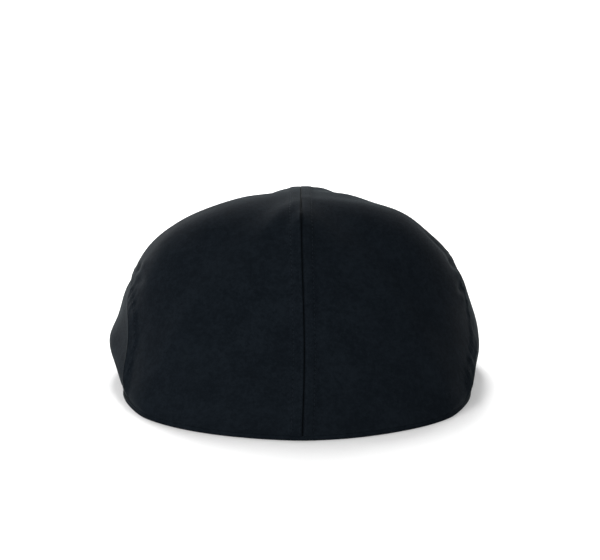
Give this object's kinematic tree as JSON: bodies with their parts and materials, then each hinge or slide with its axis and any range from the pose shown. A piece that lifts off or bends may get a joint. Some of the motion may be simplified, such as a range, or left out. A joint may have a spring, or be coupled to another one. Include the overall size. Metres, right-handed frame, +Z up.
{
  "type": "duckbill cap",
  "caption": "Soft brushed-cotton duckbill cap: a full rounded crown drawn forward over a short stiff bill, with low side panels that meet at the back, resting on its hem.",
  "frame": {"origin": "centre of the bounding box at its bottom, on the surface that the cap rests on", "axes": "+Z up, -Y the way the wearer faces, towards the bill, and +X the wearer's left"},
  "size_m": [0.2284, 0.246, 0.1106],
  "materials": {
    "brushed_cotton": "matt brushed cotton twill, near black with a blue cast",
    "bill_cloth": "the same cotton twill, drawn tight over a stiff bill"
  },
  "bodies": {
    "root": {"top_panel_left": "brushed_cotton", "top_panel_right": "brushed_cotton", "side_panel_left": "brushed_cotton", "side_panel_right": "brushed_cotton", "bill": "bill_cloth"}
  },
  "joints": []
}
